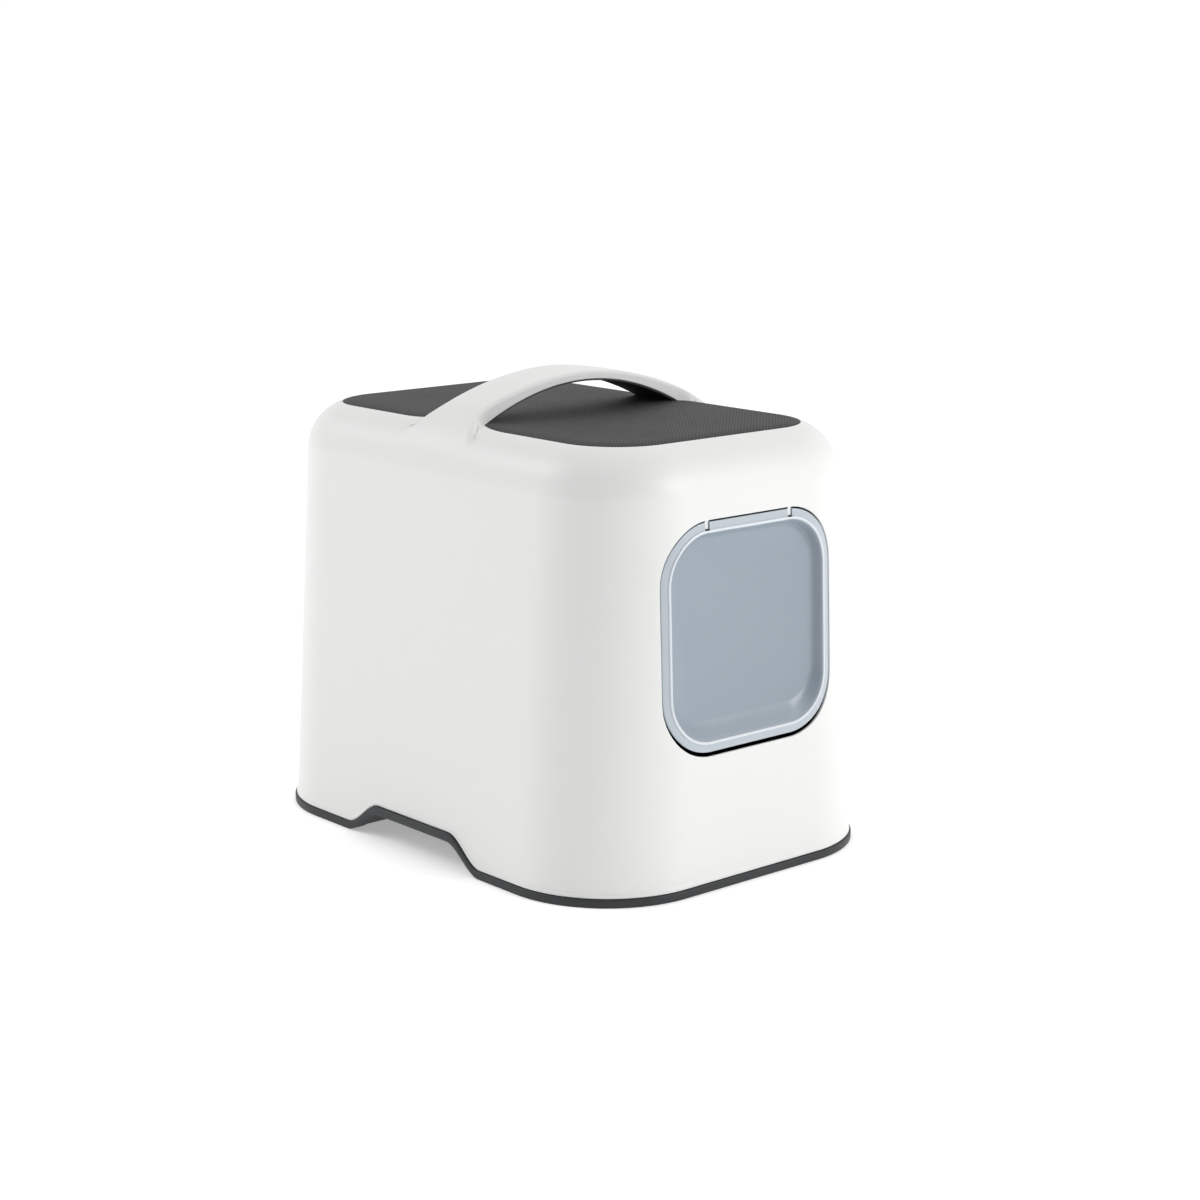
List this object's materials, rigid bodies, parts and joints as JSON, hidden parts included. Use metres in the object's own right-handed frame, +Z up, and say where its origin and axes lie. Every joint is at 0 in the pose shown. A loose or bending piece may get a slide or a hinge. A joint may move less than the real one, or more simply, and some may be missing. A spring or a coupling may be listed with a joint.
{
  "type": "cat litter box with hood",
  "caption": "Covered cat litter box: tray with side grip recesses, lift-off tapered hood with carrying arch, ventilated top cover over a filter, and a two-way swinging entry flap.",
  "frame": {"origin": "centre of the footprint, on the floor the box stands on", "axes": "+Z up, the entry flap faces -Y, +X is to the right seen from the front"},
  "size_m": [0.395, 0.545, 0.4555],
  "materials": {
    "hood_plastic": "satin moulded white",
    "tray_plastic": "fine matt anthracite",
    "grip_plastic": "soft matt anthracite",
    "cover_plastic": "matt anthracite with fine perforations",
    "flap_plastic": "frosted translucent",
    "filter_foam": "open-cell carbon foam",
    "pin_steel": "drawn wire"
  },
  "bodies": {
    "base": {"base_tray": "tray_plastic"},
    "hood": {"hood": "hood_plastic", "handle_grip_strip": "grip_plastic", "top_cover": "cover_plastic"},
    "flap": {"entry_flap": "flap_plastic", "hinge_pin_left": "pin_steel", "hinge_pin_right": "pin_steel"},
    "filter_frame": {"filter_frame": "tray_plastic", "carbon_filter": "filter_foam"}
  },
  "joints": [
    {"name": "hood_lift", "type": "slide", "parent": "base", "child": "hood", "axis": [0, 0, 1], "range_m": [0, 0.35]},
    {"name": "flap_swing", "type": "hinge", "parent": "hood", "child": "flap", "pos_m": [0, -0.25663, 0.34024], "axis": [1, 0, 0], "range_deg": [-35, 75]},
    {"name": "filter_frame_swing", "type": "hinge", "parent": "hood", "child": "filter_frame", "pos_m": [0, 0.1225, 0.405], "axis": [1, 0, 0], "range_deg": [0, 85]}
  ]
}
